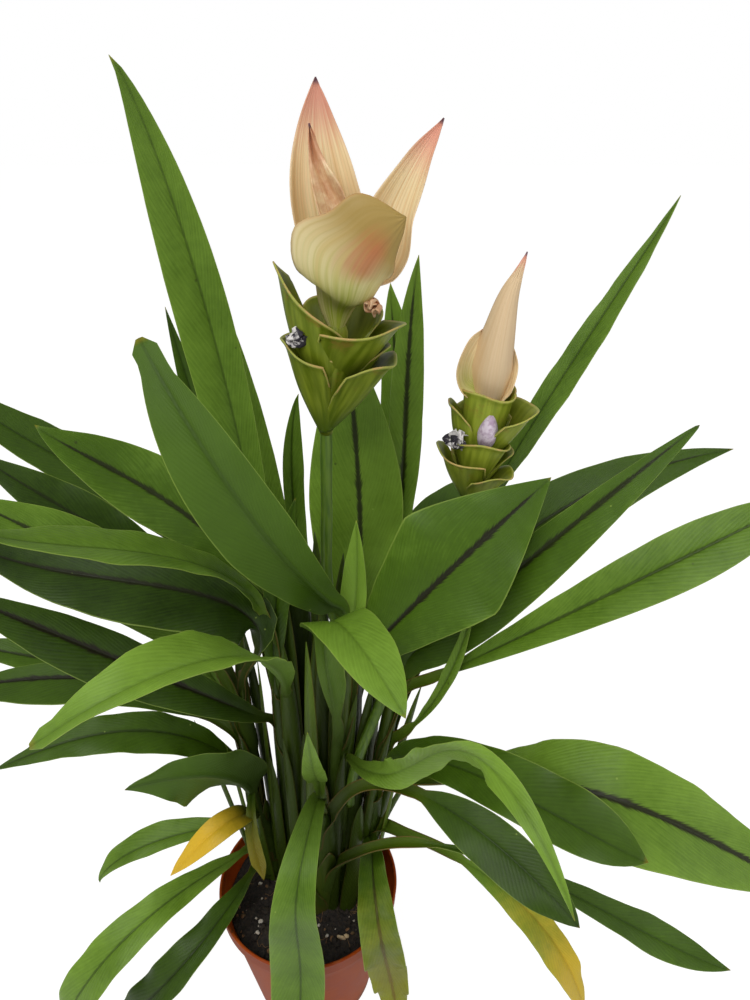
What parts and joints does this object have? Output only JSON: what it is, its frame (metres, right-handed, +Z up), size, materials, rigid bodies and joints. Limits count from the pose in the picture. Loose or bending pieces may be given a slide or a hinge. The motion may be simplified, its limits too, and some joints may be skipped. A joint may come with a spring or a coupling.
{
  "type": "potted siam tulip",
  "caption": "Potted siam tulip: long arching green leaves round upright shoots and tall flower heads of cream and green bracts, in a round nursery pot of soil.",
  "frame": {"origin": "centre of the flat base that the pot stands on", "axes": "+Z up along the pot's axis, -Y towards the front of the plant, +X to its right"},
  "size_m": [0.5304, 0.4156, 0.6384],
  "materials": {
    "pot_plastic": "terracotta-coloured moulded plastic, satin",
    "potting_soil": "dark moist peat with pale grains, rough",
    "shoot_green": "pale olive green leaf sheaths, satin",
    "stalk_green": "smooth olive green stalk",
    "green_leaf": "mid green blade with a dark midrib and fine parallel veins, satin",
    "yellow_leaf": "yellowed blade, satin",
    "green_bract": "olive and lime green fused bracts with brown edges",
    "cream_bract": "cream bracts flushed pink at the tip, fine long veins",
    "withered_bract": "dry brown bract"
  },
  "bodies": {
    "root": {"bract_1_back": "cream_bract", "bract_1_hood": "cream_bract", "bract_1_right": "cream_bract", "bract_1_withered": "withered_bract", "bract_2_left": "cream_bract", "bract_2_pointed": "cream_bract", "bract_2_right": "cream_bract", "flower_stalk_1": "stalk_green", "flower_stalk_2": "stalk_green", "green_bracts_1": "green_bract", "green_bracts_2": "green_bract", "leaf_back_broad": "green_leaf", "leaf_back_slim_left": "green_leaf", "leaf_back_slim_pale": "green_leaf", "leaf_back_slim_right": "green_leaf", "leaf_front_arched": "green_leaf", "leaf_front_hanging": "green_leaf", "leaf_front_left_broad": "green_leaf", "leaf_front_near_curled": "green_leaf", "leaf_front_right_hanging": "green_leaf", "leaf_front_small": "green_leaf", "leaf_left_curved": "green_leaf", "leaf_left_dark_broad": "green_leaf", "leaf_left_dark_long": "green_leaf", "leaf_left_far": "green_leaf", "leaf_left_folded": "green_leaf", "leaf_left_low_inner": "green_leaf", "leaf_left_low_long": "green_leaf", "leaf_left_low_pale": "green_leaf", "leaf_left_lower": "green_leaf", "leaf_left_middle": "green_leaf", "leaf_left_middle_far": "green_leaf", "leaf_left_near_curled": "green_leaf", "leaf_left_upper_broad": "green_leaf", "leaf_left_upper_dark": "green_leaf", "leaf_left_upper_light": "green_leaf", "leaf_left_yellow": "yellow_leaf", "leaf_rear_left": "green_leaf", "leaf_rear_right": "green_leaf", "leaf_right_broad": "green_leaf", "leaf_right_long": "green_leaf", "leaf_right_low_broad": "green_leaf", "leaf_right_low_dark": "green_leaf", "leaf_right_low_front": "green_leaf", "leaf_right_low_olive": "green_leaf", "leaf_right_low_yellowing": "green_leaf", "leaf_right_pale": "green_leaf", "leaf_right_twisted": "green_leaf", "leaf_tall_left": "green_leaf", "leaf_tall_left_rear": "green_leaf", "leaf_tall_right": "green_leaf", "leaf_young_bright": "green_leaf", "pot": "pot_plastic", "shoot_back": "shoot_green", "shoot_centre": "shoot_green", "shoot_front": "shoot_green", "shoot_left": "shoot_green", "shoot_middle_left": "shoot_green", "shoot_right": "shoot_green", "soil": "potting_soil"}
  },
  "joints": []
}
